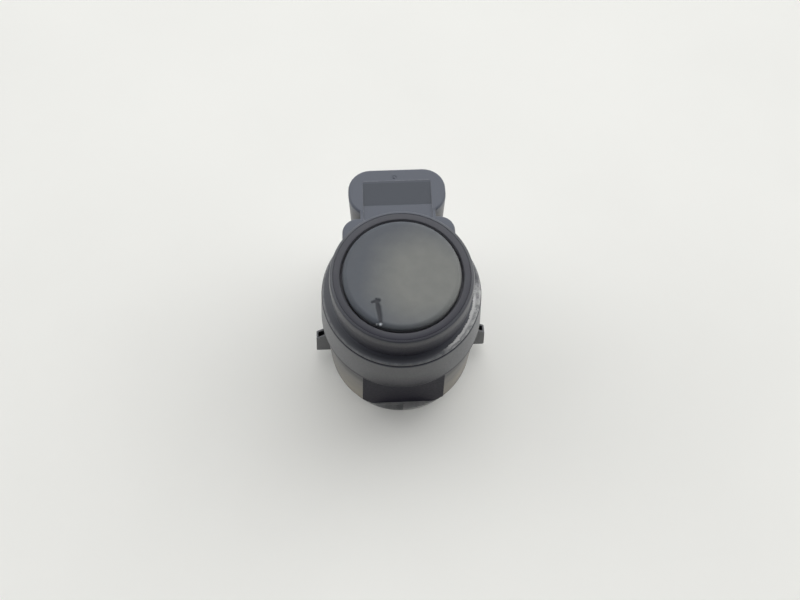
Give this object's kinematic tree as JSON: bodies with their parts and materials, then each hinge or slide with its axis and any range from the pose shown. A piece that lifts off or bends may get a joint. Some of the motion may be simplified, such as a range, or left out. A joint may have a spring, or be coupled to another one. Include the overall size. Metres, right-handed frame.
{
  "type": "parking sensor",
  "caption": "Ultrasonic parking sensor: a round soft-mounted sensing disc in a black moulded housing with side lugs and a plug socket at its side.",
  "frame": {"origin": "on the sensing axis, in the plane of the foot that the housing stands on", "axes": "+Z out of the sensing face, +Y towards the plug socket, +X across the side lugs"},
  "size_m": [0.0304, 0.0351, 0.0324],
  "materials": {
    "moulded_housing": "moulded, fine satin",
    "soft_ring": "matt",
    "painted_disc": "satin paint",
    "inner_plastic": "matt",
    "piezo_ceramic": "silvered ceramic",
    "felt": "pressed felt",
    "copper_wire": "enamelled copper",
    "board_laminate": "solder mask",
    "chip_resin": "moulded resin",
    "ferrite": "sintered",
    "can_aluminium": "drawn",
    "chip_ceramic": "fired",
    "resistor_ceramic": "glazed",
    "tinned_contact": "tinned",
    "potting_resin": "cast"
  },
  "bodies": {
    "root": {"housing": "moulded_housing", "decoupling_ring": "soft_ring", "membrane_cup": "painted_disc", "piezo_disc": "piezo_ceramic", "damping_felt": "felt", "support_ring": "inner_plastic", "piezo_lead_hot": "copper_wire", "piezo_lead_ground": "copper_wire", "circuit_board": "board_laminate", "control_chip": "chip_resin", "transformer_base": "inner_plastic", "transformer_core": "ferrite", "transformer_winding": "copper_wire", "buffer_capacitor": "can_aluminium", "protection_diode": "chip_resin", "chip_capacitors": "chip_ceramic", "chip_resistors": "resistor_ceramic", "terminal_supply": "tinned_contact", "terminal_signal": "tinned_contact", "terminal_ground": "tinned_contact", "potting": "potting_resin"}
  },
  "joints": []
}
